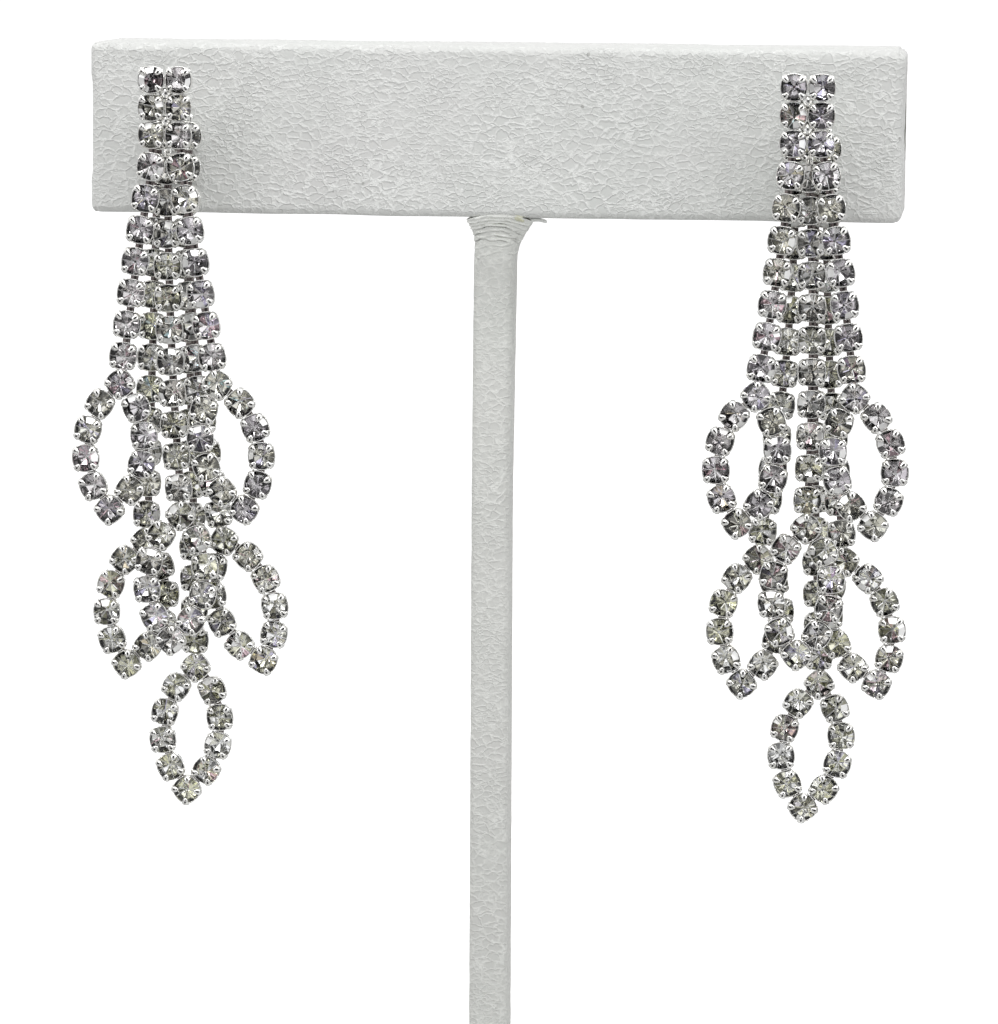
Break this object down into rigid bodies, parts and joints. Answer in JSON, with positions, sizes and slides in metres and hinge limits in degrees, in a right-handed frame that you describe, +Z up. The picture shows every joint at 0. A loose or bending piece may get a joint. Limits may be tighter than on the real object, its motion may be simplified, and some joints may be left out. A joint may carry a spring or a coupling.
{
  "type": "pair of chandelier earrings on a T-bar stand",
  "caption": "Chandelier earrings of rhinestone cup chain with pointed stone loops, both of the pair hanging on a leatherette T-bar display stand.",
  "frame": {"origin": "on the floor under the middle of the bar, at the middle of the base's flat underside", "axes": "+Z up along the stem, +Y from the earrings through the bar to its back, +X to the right for someone who faces the earrings"},
  "size_m": [0.0805, 0.044, 0.12],
  "materials": {
    "silver_set_stones": "bright silver plate round clear faceted stones with foiled backs",
    "leatherette": "off-white pebbled leatherette, satin",
    "clear_stone": "clear faceted crystal with a foiled back"
  },
  "bodies": {
    "root": {"left_loop_centre_back": "silver_set_stones", "left_loop_centre_front": "silver_set_stones", "left_loop_inner_l": "silver_set_stones", "left_loop_inner_r": "silver_set_stones", "left_loop_outer_l": "silver_set_stones", "left_loop_outer_r": "silver_set_stones", "left_strand_centre_back": "silver_set_stones", "left_strand_centre_front": "silver_set_stones", "left_strand_inner_l": "silver_set_stones", "left_strand_inner_r": "silver_set_stones", "left_strand_outer_l": "silver_set_stones", "left_strand_outer_r": "silver_set_stones", "left_stud_block": "silver_set_stones", "right_loop_centre_back": "silver_set_stones", "right_loop_centre_front": "silver_set_stones", "right_loop_inner_l": "silver_set_stones", "right_loop_inner_r": "silver_set_stones", "right_loop_outer_l": "silver_set_stones", "right_loop_outer_r": "silver_set_stones", "right_strand_centre_back": "silver_set_stones", "right_strand_centre_front": "silver_set_stones", "right_strand_inner_l": "silver_set_stones", "right_strand_inner_r": "silver_set_stones", "right_strand_outer_l": "silver_set_stones", "right_strand_outer_r": "silver_set_stones", "right_stud_block": "silver_set_stones", "stand_bar": "leatherette", "stand_base": "leatherette", "stand_stem": "leatherette"}
  },
  "joints": []
}
